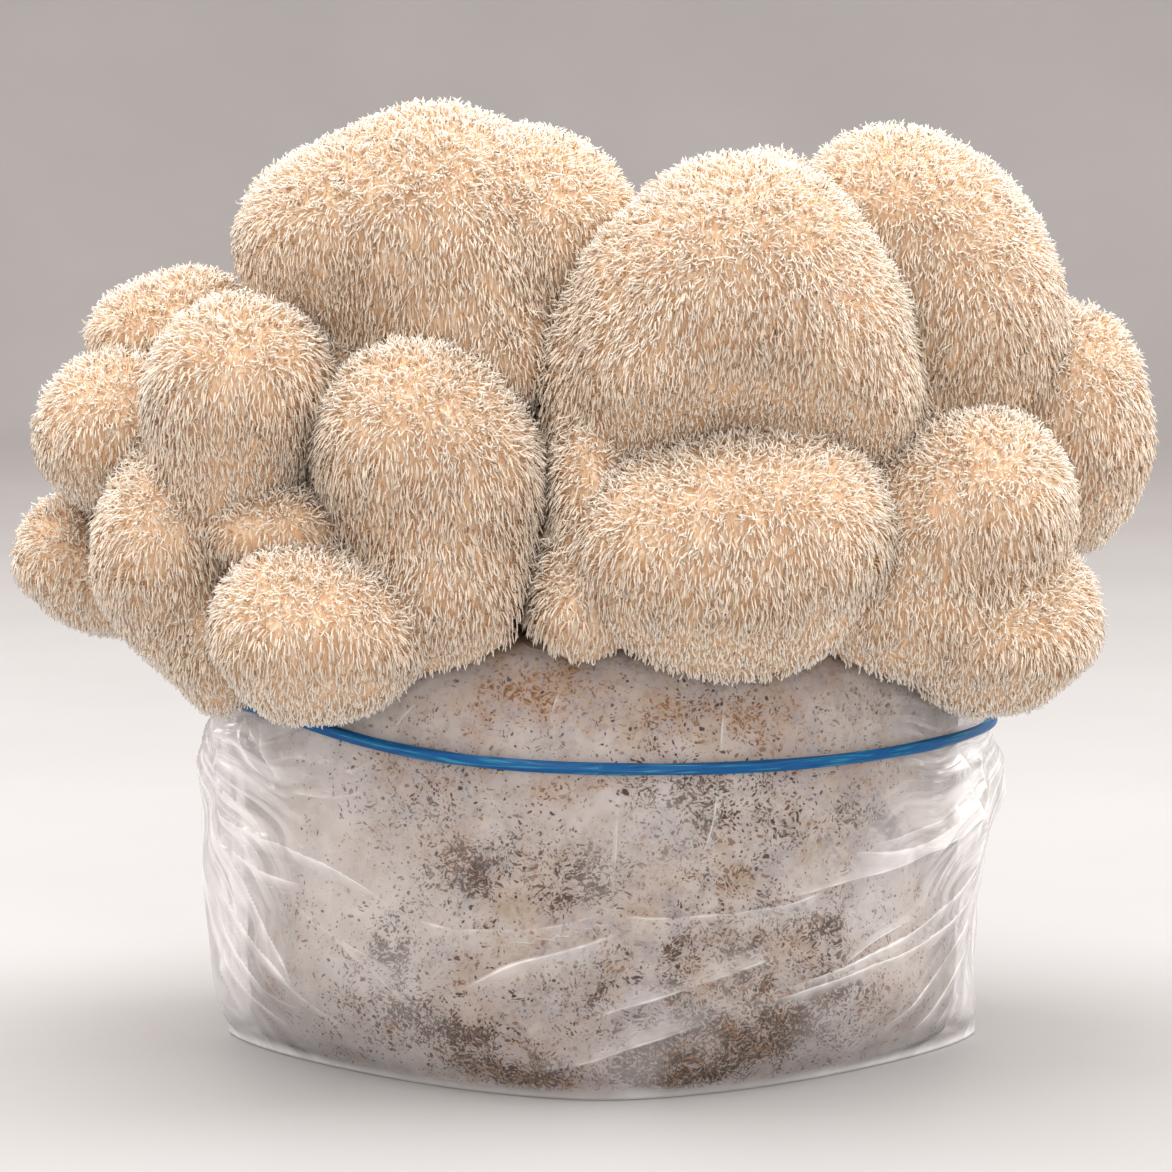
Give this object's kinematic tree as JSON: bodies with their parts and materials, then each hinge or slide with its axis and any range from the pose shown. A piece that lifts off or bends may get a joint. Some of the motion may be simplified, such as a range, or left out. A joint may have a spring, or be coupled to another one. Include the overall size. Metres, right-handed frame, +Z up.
{
  "type": "lion's mane mushroom on grow block",
  "caption": "Two lobed, spine-covered lion's mane fruit bodies growing from a colonised sawdust block in a clear film grow bag held by a blue elastic band.",
  "frame": {"origin": "middle of the bag's flat underside, on the surface that it stands on", "axes": "+Z up, -Y towards the viewer of the picture, +X to the right along the bag's width"},
  "size_m": [0.3141, 0.1935, 0.2564],
  "materials": {
    "spines": "soft cream spines over tan flesh",
    "mycelium": "sawdust bound by white mycelium, with brown specks",
    "film": "clear creased film",
    "band": "blue, slightly glossy"
  },
  "bodies": {
    "root": {"mushroom_left": "spines", "mushroom_right": "spines", "substrate_block": "mycelium", "grow_bag": "film", "elastic_band": "band"}
  },
  "joints": []
}
